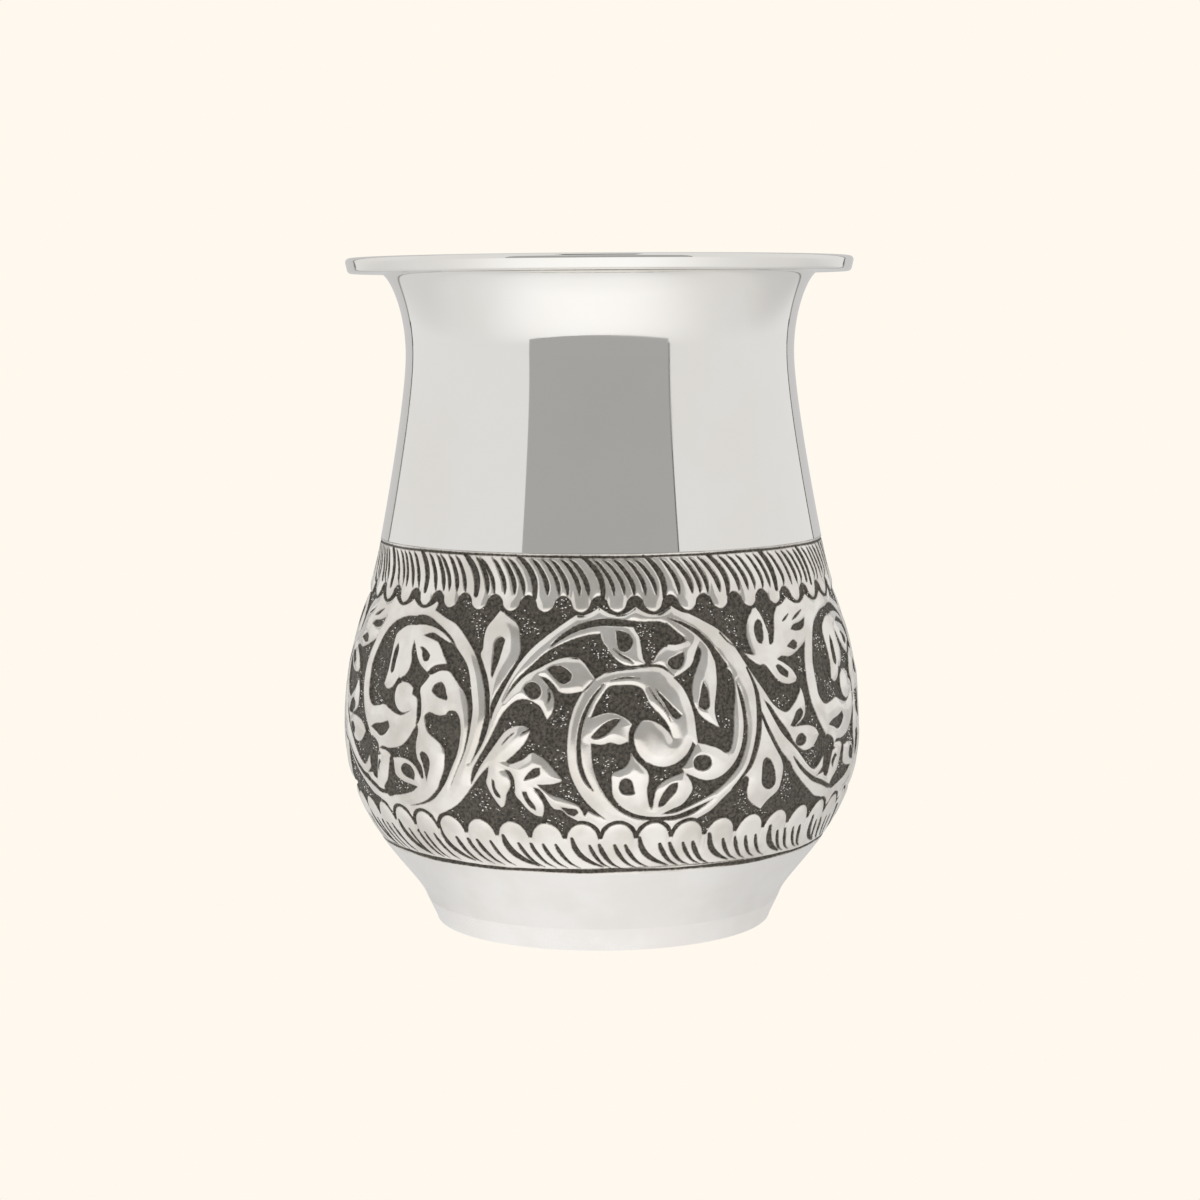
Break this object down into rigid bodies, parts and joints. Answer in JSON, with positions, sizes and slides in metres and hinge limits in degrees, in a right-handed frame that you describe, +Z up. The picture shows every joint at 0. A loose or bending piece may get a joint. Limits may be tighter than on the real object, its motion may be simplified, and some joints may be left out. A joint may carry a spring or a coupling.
{
  "type": "lota water pot",
  "caption": "Small ritual water pot: plain flared neck with a wired lip, round chased scroll-work bowl and a low soldered foot ring.",
  "frame": {"origin": "centre of the pot at the plane its foot stands on", "axes": "+Z up along the pot's axis from foot to lip; +Y away from the viewer of the front; +X to the viewer's right"},
  "size_m": [0.0782, 0.0782, 0.0997],
  "materials": {
    "polished_silver": "mirror polished silver with faint wipe marks and a thin warm tarnish",
    "chased_silver": "chased silver, polished on the raised work and oxidised near black in the punched ground",
    "satin_silver": "softly polished silver, slightly satin",
    "silver_solder": "filed silver solder, greyer than the sheet",
    "core_wire": "drawn silver wire, closed inside the lip"
  },
  "bodies": {
    "root": {"neck_shell": "polished_silver", "rim_wire": "core_wire", "rim_edge_solder": "silver_solder", "neck_seam_solder": "silver_solder", "belly_bowl": "chased_silver", "foot_seam_solder": "silver_solder", "foot_ring": "satin_silver"}
  },
  "joints": []
}
